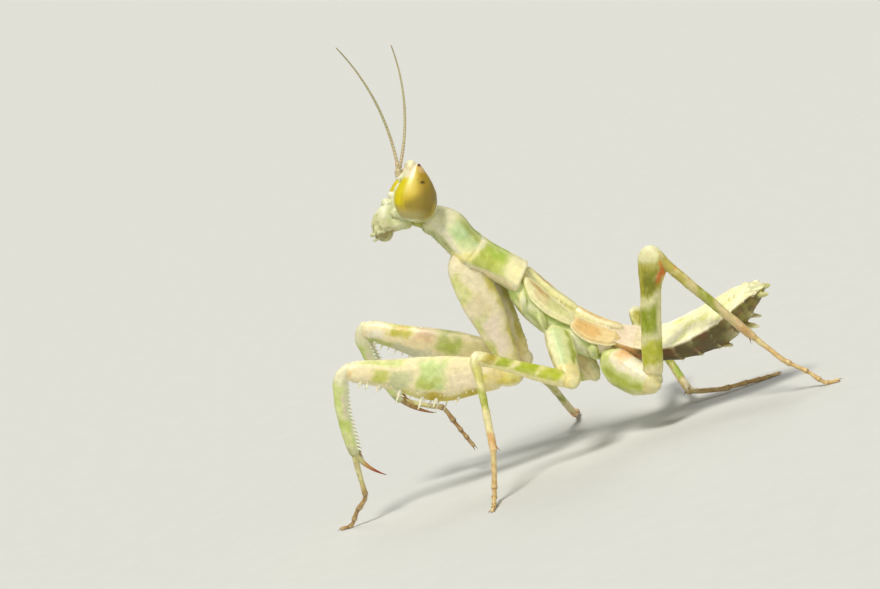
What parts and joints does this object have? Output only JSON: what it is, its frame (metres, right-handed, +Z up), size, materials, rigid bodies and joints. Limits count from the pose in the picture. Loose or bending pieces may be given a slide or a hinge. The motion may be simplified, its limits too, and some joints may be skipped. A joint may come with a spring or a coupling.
{
  "type": "praying mantis",
  "caption": "Young flower mantis standing at life size: grasping front legs raised, triangular head with cone-shaped eyes, short wing pads, abdomen curled up.",
  "frame": {"origin": "on the floor, under the middle of the whole model's box", "axes": "+X the way the body faces, +Y the animal's left, +Z up; the feet stand on z = 0"},
  "size_m": [0.036, 0.0282, 0.0311],
  "materials": {
    "limb": "satin cuticle banded cream and leaf green",
    "trunk": "satin cuticle, pale green marbled with cream",
    "abdomen_back": "pale yellow above, brown and olive below",
    "face": "satin cream cuticle with fine green mottling",
    "eye": "glossy cornea, golden yellow shading to olive",
    "wing_pad": "satin, straw yellow with tan streaks",
    "foot": "satin tan brown",
    "feeler": "matt grey green, fine rings"
  },
  "bodies": {
    "root": {"abdomen": "abdomen_back", "antenna_left": "feeler", "antenna_right": "feeler", "cercus_left": "abdomen_back", "cercus_right": "abdomen_back", "eye_left": "eye", "eye_right": "eye", "fore_coxa_left": "limb", "fore_coxa_right": "limb", "fore_femur_left": "limb", "fore_femur_right": "limb", "fore_tarsus_left": "foot", "fore_tarsus_right": "foot", "fore_tibia_left": "limb", "fore_tibia_right": "limb", "fore_wing_pad_left": "wing_pad", "fore_wing_pad_right": "wing_pad", "head": "face", "hind_coxa_left": "limb", "hind_coxa_right": "limb", "hind_femur_left": "limb", "hind_femur_right": "limb", "hind_tarsus_left": "foot", "hind_tarsus_right": "foot", "hind_tibia_left": "limb", "hind_tibia_right": "limb", "hind_wing_pad_left": "wing_pad", "hind_wing_pad_right": "wing_pad", "mesothorax": "trunk", "metathorax": "trunk", "mid_coxa_left": "limb", "mid_coxa_right": "limb", "mid_femur_left": "limb", "mid_femur_right": "limb", "mid_tarsus_left": "foot", "mid_tarsus_right": "foot", "mid_tibia_left": "limb", "mid_tibia_right": "limb", "mouthparts": "face", "neck": "trunk", "prothorax": "trunk"}
  },
  "joints": []
}
